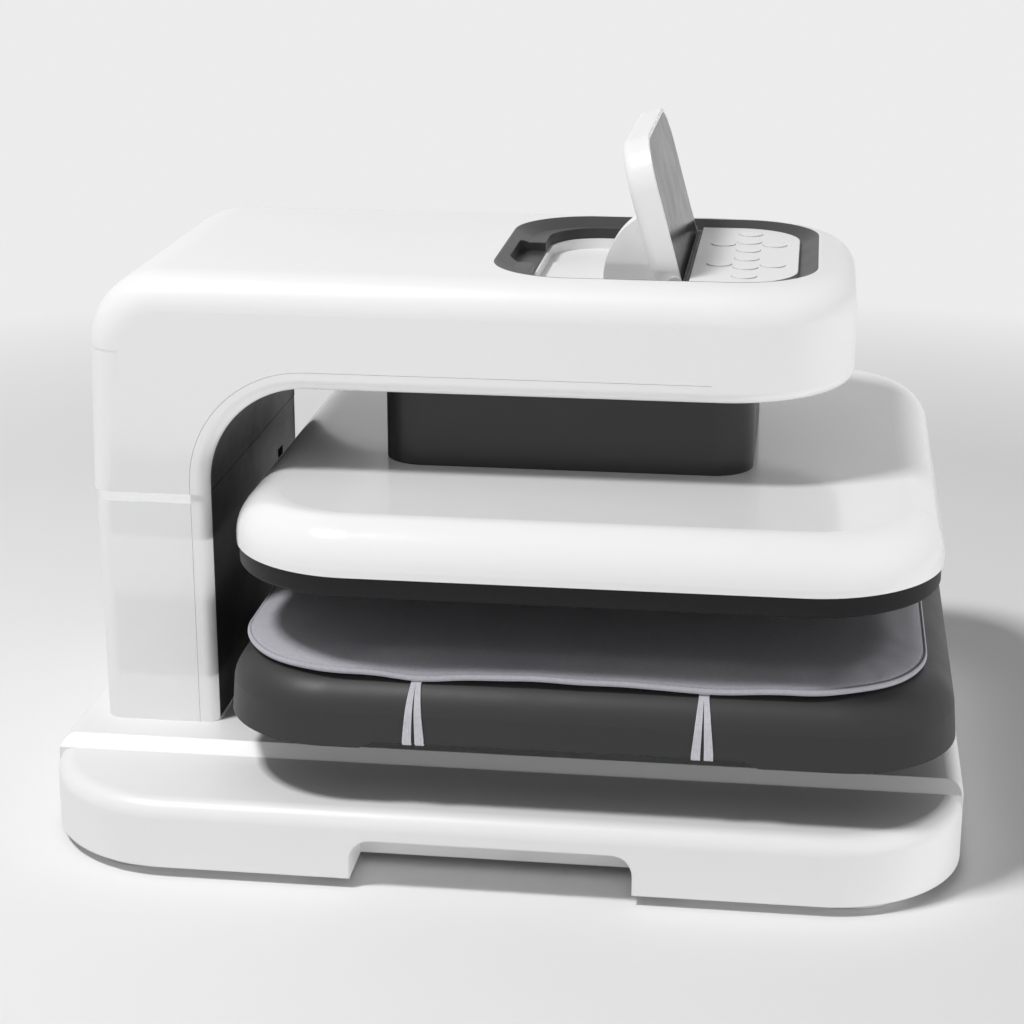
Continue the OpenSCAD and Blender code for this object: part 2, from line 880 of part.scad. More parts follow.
module switch_housing() {
  color("#1d1d1f") difference() {
    union() {
      translate([col_rear - switch_lip_t, switch_y - switch_w / 2, inlet_z])
        cube([switch_d, switch_w, switch_h]);
      translate([col_rear - switch_lip_t, switch_y - switch_w / 2 - switch_lip, inlet_z - switch_lip])
        cube([switch_lip_t, switch_w + 2 * switch_lip, switch_h + 2 * switch_lip]);
    }
    translate([col_rear - switch_lip_t - 1, switch_y - switch_w / 2 + switch_wall, inlet_z + 1])
      cube([switch_d - 1, switch_w - 2 * switch_wall, switch_h - 2]);
  }
  color("#1d1d1f") translate([switch_pivot, switch_y, switch_mid]) rotate([90, 0, 0])
    cylinder(d = pivot_d, h = switch_w - 2, center = true);
}

module power_switch() {
  h = switch_h / 2 - 1.6;
  color("#b3211f") translate([switch_pivot, switch_y, switch_mid]) rotate([90, 0, 0]) difference() {
    linear_extrude(rocker_w, center = true)
      polygon([[2.4, -3.5], [-4.6, -h], [-5.6, 0], [-4.2, h], [2.4, 3.5]]);
    cylinder(d = pivot_d + 2 * run_gap, h = far, center = true);
  }
}

// Control recess

notch_floor = liner_z - liner_t - finger_d;

module recess_liner() {
  color(grey) difference() {
    union() {
      translate([recess_x, 0, 0]) plate(recess_l, recess_w, recess_r, liner_z - liner_t, bezel_d + liner_t);
      translate([recess_x, 0, 0])
        plate(recess_l + 2 * liner_flange, recess_w + 2 * liner_flange, recess_r + liner_flange,
          liner_z - liner_t, bezel_d + liner_t - wall - liner_flange_gap);
      // Wall that hangs down round the display's seat, and the box of the finger notch
      translate([0, 0, seat_rim_z]) linear_extrude(liner_z - liner_t / 2 - seat_rim_z)
        seat_outline(-seat_flange);
      translate([seat_x0 - finger_back, 0, 0])
        plate(finger_l + 2 * finger_wall, finger_w + 2 * finger_wall, finger_r + finger_wall,
          notch_floor - finger_wall, liner_z - liner_t / 2 - notch_floor + finger_wall);
    }
    translate([recess_x, 0, 0]) prism(recess_l, recess_w, recess_r, liner_z, arm_top + 1)
      polygon([
        [0, liner_z], [recess_r - bezel_w, liner_z], [recess_r - 1, arm_top], [recess_r - 1, arm_top + 1],
        [0, arm_top + 1]
      ]);
    translate([0, 0, seat_floor]) linear_extrude(far) seat_outline(0);
    translate([0, 0, seat_floor]) linear_extrude(seat_rim_z - seat_floor) seat_outline(-seat_flange);
    // Finger notch in front of the display's free edge
    translate([seat_x0 - finger_back, 0, 0]) plate(finger_l, finger_w, finger_r, notch_floor, far);
    for (p = key_places) translate([p[0], p[1], liner_z - bezel_d]) cylinder(d = key_hole, h = 2 * bezel_d);
  }
}

// Seat seen from above: round corners at the display's free end
module seat_outline(inset) {
  r = seat_r - inset;
  x0 = seat_x0 + inset;
  w = seat_w / 2 - inset;
  translate([x0 + r, -w]) square([seat_x1 - x0 - r, 2 * w]);
  translate([x0, -w + r]) square([r + 1, 2 * (w - r)]);
  for (s = [-1, 1]) translate([x0 + r, s * (w - r)]) circle(r);
}

module display_seat() {
  w = seat_w;
  color(white) difference() {
    union() {
      translate([0, 0, seat_floor - seat_floor_t])
        linear_extrude(seat_rim_z - seat_floor + seat_floor_t) seat_outline(0);
      // Flange under the liner's wall
      translate([0, 0, seat_rim_z - seat_flange_t]) linear_extrude(seat_flange_t) seat_outline(-seat_flange);
      // Side walls that hold the hinge pin, and the pocket for the drum
      translate([hinge_x - ear_d, -w / 2, seat_floor])
        cube([seat_x1 - hinge_x + ear_d, w, liner_z - seat_floor]);
      translate([pocket_x, pocket_y, pocket_z]) cube([seat_x1 - pocket_x, pocket_w, seat_floor - pocket_z]);
      translate([hinge_x, 0, hinge_z]) rotate([90, 0, 0]) cylinder(d = ear_d, h = w, center = true);
    }
    translate([0, 0, seat_floor]) linear_extrude(far) seat_outline(seat_wall);
    translate([seat_x1 - 2 * seat_wall, -w / 2 + seat_wall, seat_floor]) cube([far, w - 2 * seat_wall, far]);
    translate([pocket_x + seat_wall, pocket_y + seat_wall, pocket_z + seat_wall])
      cube([seat_x1 - pocket_x - 2 * seat_wall, pocket_w - 2 * seat_wall, far]);
    translate([hinge_x, 0, hinge_z]) rotate([90, 0, 0]) cylinder(d = hinge_pin_d, h = far, center = true);
  }
}

module display_hinge_pin() {
  color(steel) translate([hinge_x, 0, hinge_z]) rotate([90, 0, 0])
    cylinder(d = hinge_pin_d, h = seat_w - 0.4, center = true);
}

// Puts a piece of the display into its raised pose on the hinge axis
module on_hinge() {
  translate([hinge_x, 0, hinge_z]) rotate([0, -display_lean, 0]) children();
}

// Face of the display plate: round corners at the free end
module display_face(inset) {
  r = display_r - inset;
  h = display_h - inset;
  w = display_w / 2 - inset;
  translate([-display_foot + inset, -w]) square([h + display_foot - inset - r, 2 * w]);
  translate([h - r - 1, -w + r]) square([r + 1, 2 * (w - r)]);
  for (s = [-1, 1]) translate([h - r, s * (w - r)]) circle(r);
}

// Display plate lying on its face: its back edge is rounded, and its foot is cut straight
module display_plate() {
  l = display_h + display_foot + 2 * display_r;
  intersection() {
    translate([display_h - l / 2, 0, 0]) slab(l, display_w, display_r, 0, display_t, display_edge, 0);
    translate([-display_foot, -far / 2, -far / 2]) cube(far);
  }
}

module display_frame() {
  color(white) on_hinge() difference() {
    union() {
      translate([display_front, 0, 0]) rotate([0, -90, 0]) display_plate();
      // Hollow drum behind the plate, turning into the seat's pocket
      rotate([90, 0, 0]) mirror([1, 0, 0]) rotate([0, 0, 90 - drum_span]) rotate_extrude(angle = drum_span) {
        translate([drum_r - drum_t, drum_off - drum_w / 2]) square([drum_t, drum_w]);
        for (s = [-1, 1]) translate([drum_hub, drum_off + s * (drum_w - drum_t) / 2 - drum_t / 2])
          square([drum_r - drum_hub, drum_t]);
      }
    }
    translate([display_front + 1, 0, 0]) rotate([0, -90, 0]) linear_extrude(glass_t + 1)
      display_face(glass_rim);
    rotate([90, 0, 0]) cylinder(d = hinge_pin_d + 2 * run_gap, h = far, center = true);
  }
}

module display_glass() {
  color("#17181a") on_hinge() translate([display_front, 0, 0]) rotate([0, -90, 0])
    linear_extrude(glass_t) display_face(glass_rim + glass_gap);
}

// Places of the keys: four side keys, then the middle row
key_places = concat(
  [for (sx = [-1, 1], sy = [1, -1]) [panel_mid + sx * side_key_x, sy * side_key_y]],
  [for (i = [0 : mid_keys - 1]) [panel_mid, (i - (mid_keys - 1) / 2) * key_pitch]]
);

module button_panel() {
  color(white) difference() {
    intersection() {
      translate([panel_x1 - recess_l / 2, 0, 0]) plate(recess_l, panel_w, panel_r, liner_z, panel_t);
      translate([panel_x0, -far / 2, liner_z - 1]) cube([far, far, far]);
    }
    for (p = key_places) translate([p[0], p[1], liner_z - bezel_d]) cylinder(d = key_hole, h = 2 * bezel_d);
  }
}

module key(i) {
  low = liner_z - liner_t - 1;
  color(white) translate([key_places[i][0], key_places[i][1], 0]) {
    translate([0, 0, low]) cylinder(d = key_d, h = panel_top + key_rise - low);
    translate([0, 0, low]) cylinder(d = key_d + 1.8, h = 0.7);
  }
}

module circuit_board() {
  color("#2f5d3a") translate([panel_x0 + 4, -panel_w / 2 + 8, board_z - board_t])
    cube([panel_x1 - panel_x0 - 8, panel_w - 16, board_t]);
  color("#1b1b1b") for (s = [-1, 1], x = [panel_x0 + 6, panel_x1 - 6])
    translate([x, s * (panel_w / 2 - 11), board_z]) cylinder(d = 4, h = liner_z - liner_t - board_z);
}

// Platen and neck

module neck_shell() {
  color(grey) difference() {
    translate([neck_x, 0, 0]) plate(neck_l, neck_w, neck_r, cover_top, neck_top - cover_top);
    translate([neck_x, 0, 0]) plate(neck_l - 2 * wall, neck_w - 2 * wall, neck_r - wall, cover_top - 1, far);
    // Slot in the rear wall that lets the beam and the belt in
    translate([neck_x - neck_l / 2 - 1, -stem_w / 2 - neck_slot, beam_z - 2])
      cube([wall + 2, stem_w + 2 * neck_slot, far]);
  }
}

module platen_cover() {
  t = cover_t;
  color(white) difference() {
    translate([plat_x, 0, 0]) slab(plat_l, plat_w, plat_r, cover_z, cover_top, cover_edge, 0);
    translate([plat_x, 0, 0])
      slab(plat_l - 2 * t, plat_w - 2 * t, plat_r - t, cover_z - 1, cover_top - wall, cover_edge - t, 0);
    translate([(cover_hole_x0 + cover_hole_x1) / 2, 0, 0])
      plate(cover_hole_x1 - cover_hole_x0, neck_w - 2 * cover_hole_side, cover_hole_r,
        cover_top - 3 * wall, far);
  }
}

module platen_skirt() {
  color("#2a2a2c") translate([plat_x, 0, 0]) difference() {
    slab(plat_l - 2 * skirt_inset, plat_w - 2 * skirt_inset, plat_r - skirt_inset, skirt_z, cover_z, 0, 2);
    plate(heat_side + 2 * heat_edge, heat_side + 2 * heat_edge, heat_r + heat_edge, skirt_z - 1, skirt_h + 2);
  }
}

module heating_plate() {
  color("#4a4a4c") translate([plat_x, 0, 0])
    slab(heat_side, heat_side, heat_r, heat_z, heat_z + heat_t, 0, 1.5);
}

sheet_side = heat_side - 2 * sheet_in;

module heater_sheet() {
  color("#b08d57") translate([plat_x, 0, 0]) difference() {
    plate(sheet_side, sheet_side, heat_r - sheet_in, heat_z + heat_t, mica_t);
    post_holes();
  }
}

module insulation_board() {
  color("#e6dfc8") translate([plat_x, 0, 0]) difference() {
    plate(sheet_side, sheet_side, heat_r - sheet_in, heat_z + heat_t + mica_t, wool_t);
    post_holes();
    translate([0, -thermo_y, 0]) cylinder(d = thermo_hole, h = far);
  }
}

module post_holes() {
  for (sx = [-1, 1], sy = [-1, 1]) translate([sx * post_x, sy * post_y, 0]) cylinder(d = post_hole, h = far);
}

module platen_posts() {
  z0 = heat_z + heat_t;
  color(steel) for (sx = [-1, 1], sy = [-1, 1])
    translate([plat_x + sx * post_x, sy * post_y, z0]) cylinder(d = post_d, h = plate_frame_z - z0);
}

module platen_frame() {
  color(steel) translate([plat_x, 0, 0])
    plate(plate_frame_l, plate_frame_w, plate_frame_r, plate_frame_z, plate_frame_t);
}

module thermostat() {
  color("#1f1f21") translate([plat_x, -thermo_y, heat_z + heat_t + mica_t])
    cylinder(d = thermo_d, h = thermo_h);
}

module lift_bracket() {
  top = plate_frame_z + plate_frame_t;
  color(steel) difference() {
    union() {
      translate([drive_x - bracket_l / 2, -leg_y - leg_t / 2, bracket_z])
        cube([bracket_l, 2 * leg_y + leg_t, bracket_t]);
      for (s = [-1, 1])
        translate([drive_x - bracket_l / 2, s * leg_y - leg_t / 2, top])
          cube([bracket_l, leg_t, bracket_z + bracket_t - top]);
    }
    translate([drive_x, 0, bracket_z - 1]) cylinder(d = screw_d + 2 * bush_wall, h = bracket_t + 2);
    for (s = [-1, 1]) translate([drive_x, s * rod_y, bracket_z - 1])
      cylinder(d = rod_d + 2 * bush_wall, h = bracket_t + 2);
  }
}

module screw_nut() {
  color("#b5893c") translate([drive_x, 0, 0]) difference() {
    union() {
      translate([0, 0, bracket_z - nut_low]) cylinder(d = screw_d + 2 * bush_wall, h = bush_h);
      translate([0, 0, bracket_z + bracket_t])
        cylinder(d = screw_d + 2 * (bush_wall + nut_flange), h = nut_flange);
    }
    translate([0, 0, bracket_z - bush_h]) cylinder(d = screw_d + 2 * run_gap, h = 3 * bush_h);
  }
}

module guide_bushes() {
  color("#b5893c") for (s = [-1, 1]) translate([drive_x, s * rod_y, 0]) difference() {
    union() {
      translate([0, 0, bracket_z - bush_low]) cylinder(d = rod_d + 2 * bush_wall, h = bush_h);
      translate([0, 0, bracket_z + bracket_t])
        cylinder(d = rod_d + 2 * (bush_wall + bush_flange), h = bush_flange_t);
    }
    translate([0, 0, bracket_z - bush_h]) cylinder(d = rod_d + 2 * run_gap, h = 3 * bush_h);
  }
}

// Drawer

// Side of the tray: leaning in towards a rounded top edge
module tray_profile(r, z0, z1, e) {
  cz = z1 - e;
  cx = r - tray_lean * (cz - z0) / (z1 - z0) - e + tray_soft;
  difference() {
    polygon([[0, z0], [r, z0], [r - tray_lean, z1], [0, z1]]);
    translate([cx, cz]) difference() {
      square(2 * e);
      circle(e);
    }
  }
}

module tray_form(inset, z0, z1) {
  side = tray_side - 2 * inset;
  translate([tray_x, 0, 0]) prism(side, side, tray_r - inset, z0, z1)
    tray_profile(tray_r - inset, z0, z1, tray_edge - inset);
}

module tray_shell() {
  cut = strap_cut_l / 2;
  pocket = plate_low_side + 2 * plate_low_gap;
  color(grey) difference() {
    tray_form(0, tray_z, tray_top);
    tray_form(wall, tray_z - tiny, tray_top - 2 * wall);
    translate([tray_x, 0, 0])
      plate(pocket, pocket, plate_low_r + plate_low_gap, tray_top - plate_low_t + plate_low_up, plate_low_t);
    // Low edge where the straps turn under
    translate([strap_x, 0, tray_z - 1]) rotate([90, 0, 0]) linear_extrude(far, center = true)
      polygon([
        [-cut, 0], [-cut + strap_cut_end, strap_cut + 1], [cut - strap_cut_end, strap_cut + 1], [cut, 0]
      ]);
  }
}

module lower_plate() {
  color("#8b8d90") translate([tray_x, 0, 0])
    plate(plate_low_side, plate_low_side, plate_low_r, tray_top - plate_low_t + plate_low_up, plate_low_t);
}

// Pad

pad_back = 1.5;
pad_x = plat_x - pad_back;
pad_low = tray_top + 1;
pad_hem = 3.8;
pad_reach = 120;
pad_pull = 1.2;
pull_w = 26;
corner_steps = 10;
side_steps = 14;
pad_steps = 4 * (corner_steps + side_steps);
corner_x = [1, -1, -1, 1, 1];
corner_y = [1, 1, -1, -1, 1];

// Points round the pad at a distance d inside its outline: each corner as an arc, then the side after it
function pad_outline(d) =
  let (h = pad_side / 2 - pad_r, r = pad_r - d)
  [for (k = [0 : 3], i = [0 : corner_steps + side_steps - 1])
    let (a = 90 * (k + min(1, i / corner_steps)), t = max(0, i - corner_steps) / side_steps)
    [
      h * (corner_x[k] * (1 - t) + corner_x[k + 1] * t) + r * cos(a),
      h * (corner_y[k] * (1 - t) + corner_y[k + 1] * t) + r * sin(a)
    ]];

// How far the edge is drawn down beside a strap
function strap_pull(x) =
  let (d = abs(x - strap_x) - strap_off)
  pad_pull * exp(-pow(d / pull_w, 2));

// Height of the pad's top at a point at a distance d inside the outline
function pad_height(p, d) =
  let (t = d / pad_reach, pulled = abs(p[1]) > pad_side / 2 - d - 1 ? strap_pull(pad_x + p[0]) * (1 - t) : 0)
  pad_low + pad_hem - pulled + (pad_t - pad_hem) * sin(90 * min(1, t * 2.2));

function pad_ring(d, z) = [for (p = pad_outline(d)) [pad_x + p[0], p[1], z < 0 ? pad_height(p, d) : z]];

module pressing_pad() {
  steps_in = [0, 2.4, 7, 17, 31, 54];
  top = [for (d = steps_in) pad_ring(d, -1)];
  low = [pad_ring(0, pad_low + 1.2), pad_ring(3.6, pad_low)];
  rings = concat([low[1], low[0]], top);
  points = concat([for (r = rings) each r], [[pad_x, 0, pad_low], [pad_x, 0, pad_top]]);
  n = pad_steps;
  last = len(rings) - 1;
  bottom_mid = len(rings) * n;
  faces = concat(
    [for (k = [0 : last - 1], i = [0 : n - 1], f = [0, 1]) let (j = (i + 1) % n)
      f == 0 ? [k * n + i, (k + 1) * n + i, (k + 1) * n + j] : [k * n + i, (k + 1) * n + j, k * n + j]],
    [for (i = [0 : n - 1]) [bottom_mid, i, (i + 1) % n]],
    [for (i = [0 : n - 1]) [bottom_mid + 1, last * n + (i + 1) % n, last * n + i]]
  );
  color("#a3a1ab") polyhedron(points, faces);
}

// Side view of a strand: from under the pad's edge, over the tray's round edge, down its side and in under it
module strand_profile() {
  a = atan(tray_lean / tray_h);
  low_z = tray_z + strap_cut - strap_t - strap_seat;
  cz = tray_top - tray_edge;
  cy = tray_side / 2 - tray_lean * (cz - tray_z) / tray_h - tray_edge + tray_soft;
  r0 = tray_edge + strap_seat;
  r1 = tray_edge + strap_t;
  drop = (cz + r1 * sin(a) - low_z) / cos(a);
  run = [drop * sin(a), -drop * cos(a)];
  p0 = [cy + r0 * cos(a), cz + r0 * sin(a)];
  p1 = [cy + r1 * cos(a), cz + r1 * sin(a)];
  s = 2 * r1;
  translate([cy, cz]) intersection() {
    difference() {
      circle(r1);
      circle(r0);
    }
    polygon([[0, 0], [s * cos(a), s * sin(a)], [s, s], [s * cos(strap_start), s * sin(strap_start)]]);
  }
  polygon([p0, p1, p1 + run, p0 + run]);
  translate([p1[0] + run[0] - strap_under_low, low_z]) square([strap_under_low, strap_t]);
}

// One strand of an elastic strap
module strand(side) {
  translate([side * strap_spread / 2 - strap_w / 2, 0, 0]) rotate([90, 0, 90])
    linear_extrude(strap_w) strand_profile();
}

module pad_straps() {
  color("#c9c8cf") for (m = [0, 1], x = [-1, 1], side = [-1, 1])
    mirror([0, m, 0]) translate([strap_x + x * strap_off, 0, 0]) strand(side);
}

module fixed_rails() {
  color(steel) for (s = [-1, 1]) translate([tray_x - rail_l / 2, s * rail_y, deck_z]) rotate([90, 0, 90])
    linear_extrude(rail_l) difference() {
      translate([-rail_w / 2, 0]) square([rail_w, rail_h]);
      translate([-rail_w / 2 + rail_t, rail_t]) square([rail_w - 2 * rail_t, rail_h]);
    }
}

module moving_rails() {
  top = tray_top - 2 * wall;
  low = deck_z + rail_t + rail_gap;
  tongue = rail_w - 2 * (rail_t + rail_side_gap);
  run = rail_l - 2 * rail_end;
  color(steel) for (s = [-1, 1]) translate([tray_x - run / 2, s * rail_y, 0]) rotate([90, 0, 90])
    linear_extrude(run) {
      translate([-tongue / 2, low]) square([tongue, tongue_h]);
      translate([-web_t / 2, low]) square([web_t, top - low]);
      translate([-flange_w / 2, top - flange_t]) square([flange_w, flange_t]);
    }
}

base_shell();
base_bottom_plate();
foot_pads();
base_screws();
column_shell();
column_inner_frame();
column_trim_strip();
column_inner_panel();
arm_inner_liner();
under_cover();
arm_shell();
column_frame();
arm_beam();
drive_motor();
drive_belt();
screw_bearing();
guide_rods();
power_board();
power_inlet();
switch_housing();
power_switch();
recess_liner();
display_seat();
display_hinge_pin();
button_panel();
circuit_board();
fixed_rails();
neck_shell();
platen_cover();
platen_skirt();
heating_plate();
heater_sheet();
insulation_board();
platen_frame();
platen_posts();
lift_bracket();
screw_nut();
guide_bushes();
thermostat();
lead_screw();
screw_pulley();
motor_pulley();
display_frame();
display_glass();
tray_shell();
lower_plate();
pressing_pad();
pad_straps();
moving_rails();
key(0);  // key_power
key(1);  // key_mode
key(2);  // key_up
key(3);  // key_down
key(4);  // key_mid_1
key(5);  // key_mid_2
key(6);  // key_mid_3
key(7);  // key_mid_4
key(8);  // key_mid_5
key(9);  // key_mid_6
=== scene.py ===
import math

import bpy
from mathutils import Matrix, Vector


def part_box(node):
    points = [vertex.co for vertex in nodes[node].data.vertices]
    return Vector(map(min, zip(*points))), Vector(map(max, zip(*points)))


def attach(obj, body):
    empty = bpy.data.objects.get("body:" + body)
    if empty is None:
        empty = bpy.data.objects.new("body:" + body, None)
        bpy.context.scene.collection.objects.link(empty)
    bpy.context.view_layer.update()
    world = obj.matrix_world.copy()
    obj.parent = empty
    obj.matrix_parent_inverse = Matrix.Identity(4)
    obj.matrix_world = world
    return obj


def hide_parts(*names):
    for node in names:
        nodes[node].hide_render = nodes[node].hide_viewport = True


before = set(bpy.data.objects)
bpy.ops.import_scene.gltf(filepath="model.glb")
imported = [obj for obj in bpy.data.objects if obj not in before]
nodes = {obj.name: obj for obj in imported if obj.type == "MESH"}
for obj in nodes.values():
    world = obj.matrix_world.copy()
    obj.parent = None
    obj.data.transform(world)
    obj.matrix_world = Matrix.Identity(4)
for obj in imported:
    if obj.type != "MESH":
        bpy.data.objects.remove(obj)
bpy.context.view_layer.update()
scene = bpy.context.scene
scene.view_settings.view_transform = "Standard"

# Camera: a long lens at the near side of the press, a little towards the drawer end
# and looking down on it, so that the arm, the platen and the tray show one above the other.
camera_place = Vector((0.16545, -1.35408, 0.59479))
camera_aim = Vector((-0.01245, 0.0, 0.15536))
camera_lens = 80.87
camera_sensor = 36.0
camera_sight = 60.0
camera_data = bpy.data.cameras.new("press_camera")
camera_data.sensor_width = camera_sensor
camera_data.lens = camera_lens
camera_data.clip_end = camera_sight
camera = bpy.data.objects.new("press_camera", camera_data)
camera.location = camera_place
camera.rotation_euler = (camera_aim - camera_place).to_track_quat("-Z", "Y").to_euler()
scene.collection.objects.link(camera)
scene.camera = camera


# Base: one white ABS moulding with a raised deck, closed below by a plate that six screws hold.
# The satin mould texture is fine, and the tone drifts a little as thick walls cool.
base_white = (0.80, 0.80, 0.80)
base_shade = (0.775, 0.775, 0.775)
drift_grains = 5.0
mark_grains = 38.0
mark_smoother = 0.035
mark_rougher = 0.05
coat_rough = 0.08
edge_samples = 4


def start_finish(name):
    """New node material: its tree, its shader and the coordinates of the piece itself."""
    finish = bpy.data.materials.new(name)
    finish.use_nodes = True
    tree = finish.node_tree
    shader = tree.nodes["Principled BSDF"]
    place = tree.nodes.new("ShaderNodeTexCoord").outputs["Object"]
    return finish, tree, shader, place


def add_noise(tree, place, scale, detail=3.0, rough=0.55):
    """Noise over the piece, with so many grains to the metre."""
    noise = tree.nodes.new("ShaderNodeTexNoise")
    noise.inputs["Scale"].default_value = scale
    noise.inputs["Detail"].default_value = detail
    noise.inputs["Roughness"].default_value = rough
    tree.links.new(place, noise.inputs["Vector"])
    return noise.outputs["Fac"]


def add_range(tree, value, low, high, start=0.3, end=0.7):
    """Spreads a pattern between two levels."""
    spread = tree.nodes.new("ShaderNodeMapRange")
    spread.inputs["From Min"].default_value = start
    spread.inputs["From Max"].default_value = end
    spread.inputs["To Min"].default_value = low
    spread.inputs["To Max"].default_value = high
    tree.links.new(value, spread.inputs["Value"])
    return spread.outputs["Result"]


def add_tones(tree, value, first, second):
    """Colour that goes from one tone to another with a pattern."""
    tones = tree.nodes.new("ShaderNodeMix")
    tones.data_type = "RGBA"
    tones.inputs["A"].default_value = (*first, 1.0)
    tones.inputs["B"].default_value = (*second, 1.0)
    tree.links.new(value, tones.inputs["Factor"])
    return tones.outputs["Result"]


def add_relief(tree, shader, height, depth, strength=1.0, under=None):
    """Raises the surface by a pattern, depth in metres."""
    relief = tree.nodes.new("ShaderNodeBump")
    relief.inputs["Strength"].default_value = strength
    relief.inputs["Distance"].default_value = depth
    tree.links.new(height, relief.inputs["Height"])
    if under is not None:
        tree.links.new(under, relief.inputs["Normal"])
    tree.links.new(relief.outputs["Normal"], shader.inputs["Normal"])
    return relief.outputs["Normal"]


def moulding(name, tone, shade, gloss, grain=1100.0, grain_depth=0.00002, edge=0.0, coat=0.0, shine=0.5):
    """Moulded plastic: drifting tone, fine mould grain, handling marks in the gloss, softened edges."""
    finish, tree, shader, place = start_finish(name)
    drift = add_range(tree, add_noise(tree, place, drift_grains, 2.0), 0.0, 1.0)
    tree.links.new(add_tones(tree, drift, tone, shade), shader.inputs["Base Color"])
    marks = add_noise(tree, place, mark_grains, 5.0, 0.62)
    rough = add_range(tree, marks, gloss - mark_smoother, gloss + mark_rougher)
    tree.links.new(rough, shader.inputs["Roughness"])
    under = None
    if edge > 0.0:
        soft = tree.nodes.new("ShaderNodeBevel")
        soft.samples = edge_samples
        soft.inputs["Radius"].default_value = edge
        under = soft.outputs["Normal"]
    add_relief(tree, shader, add_noise(tree, place, grain, 2.0), grain_depth, 1.0, under)
    shader.inputs["Specular IOR Level"].default_value = shine
    shader.inputs["Coat Weight"].default_value = coat
    shader.inputs["Coat Roughness"].default_value = coat_rough
    return finish


def dress(name, finish):
    """Gives a CAD piece its finish."""
    piece = nodes[name]
    piece.data.materials.clear()
    piece.data.materials.append(finish)


white_satin = moulding("white_satin_moulding", base_white, base_shade, 0.38, edge=0.0012)
dress("base_shell", white_satin)
dress("base_bottom_plate", white_satin)

# Feet: four thick pads of pale silicone rubber, glued under the corners of the bottom plate.
# They grip the table, so the rubber is matt and picks up a little dust.
foot_rubber = moulding("foot_rubber", (0.66, 0.66, 0.655), (0.60, 0.60, 0.59), 0.72, 600.0, 0.00008)
dress("foot_pads", foot_rubber)

# Casing: two white shells, one for the low column and one for the upper column with the arm, each closed
# along a seam by a second moulding on its inner side. A bright strip hides the joint between the two.
arm_white = moulding("white_arm_moulding", (0.80, 0.80, 0.80), (0.785, 0.785, 0.785), 0.36, 1300.0, 0.000015)
for name in ("column_shell", "column_inner_frame", "arm_shell", "under_cover"):
    dress(name, arm_white)


def metal(name, tone, shade, rough, brushed=(1.0, 1.0, 1.0), grain=300.0, depth=0.00002):
    """Metal with drawn or brushed marks: the grain is stretched along the way that it was worked."""
    finish, tree, shader, place = start_finish(name)
    stretch = tree.nodes.new("ShaderNodeMapping")
    stretch.inputs["Scale"].default_value = brushed
    tree.links.new(place, stretch.inputs["Vector"])
    lines = add_noise(tree, stretch.outputs["Vector"], grain, 3.0)
    tones = add_tones(tree, add_range(tree, lines, 0.0, 1.0), tone, shade)
    tree.links.new(tones, shader.inputs["Base Color"])
    tree.links.new(add_range(tree, lines, rough - 0.04, rough + 0.08), shader.inputs["Roughness"])
    add_relief(tree, shader, lines, depth)
    shader.inputs["Metallic"].default_value = 1.0
    return finish


bright_trim = metal("bright_trim", (0.95, 0.955, 0.96), (0.90, 0.905, 0.91), 0.14,
                    brushed=(1.0, 1.0, 14.0), grain=160.0, depth=0.00001)
dress("column_trim_strip", bright_trim)

# Inner panel and corner liner: dark grey plastic that faces the hot platen, clipped into the casing
# in two lengths, with a cable slot near the far edge.
grey_satin = moulding("grey_satin_moulding", (0.024, 0.024, 0.0243), (0.020, 0.020, 0.0203), 0.42,
                      grain=900.0, grain_depth=0.00003, shine=0.3)
dress("column_inner_panel", grey_satin)
dress("arm_inner_liner", grey_satin)

# Frame and drive: a welded steel frame stands in the column and carries a beam out over the platen.
# A motor under the beam turns the lead screw through a toothed belt, between two ground guide rods.
frame_steel = metal("frame_steel", (0.55, 0.56, 0.57), (0.46, 0.47, 0.48), 0.36, (1.0, 1.0, 6.0), 220.0)
ground_steel = metal("ground_steel", (0.70, 0.71, 0.72), (0.62, 0.63, 0.64), 0.18, (12.0, 12.0, 1.0), 260.0)
bronze = metal("bush_bronze", (0.56, 0.38, 0.17), (0.47, 0.31, 0.13), 0.30, (1.0, 1.0, 10.0), 260.0)
motor_can = metal("motor_can", (0.20, 0.21, 0.22), (0.15, 0.155, 0.16), 0.42, (1.0, 1.0, 4.0), 200.0)
for name in ("column_frame", "arm_beam", "platen_frame", "platen_posts", "lift_bracket", "base_screws",
             "screw_bearing"):
    dress(name, frame_steel)
for name in ("guide_rods", "lead_screw", "display_hinge_pin", "screw_pulley", "motor_pulley"):
    dress(name, ground_steel)
for name in ("screw_nut", "guide_bushes"):
    dress(name, bronze)
dress("drive_motor", motor_can)
belt_rubber = moulding("belt_rubber", (0.014, 0.014, 0.015), (0.020, 0.020, 0.021), 0.62, 500.0, 0.0001)
dress("drive_belt", belt_rubber)
solder_green = moulding("board_lacquer", (0.020, 0.085, 0.040), (0.014, 0.060, 0.028), 0.30, 420.0, 0.00005)
dress("power_board", solder_green)
dress("circuit_board", solder_green)

# Mains socket and switch: black flame-proof plastic, snapped into the rear of the column,
# with a red rocker on a moulded pin.
black_plastic = moulding("black_plastic", (0.012, 0.012, 0.0125), (0.017, 0.017, 0.0175), 0.38,
                         grain=800.0, grain_depth=0.00003)
rocker_red = moulding("rocker_red", (0.42, 0.018, 0.014), (0.36, 0.014, 0.011), 0.24, 900.0, 0.00001)
dress("power_inlet", black_plastic)
dress("switch_housing", black_plastic)
dress("power_switch", rocker_red)

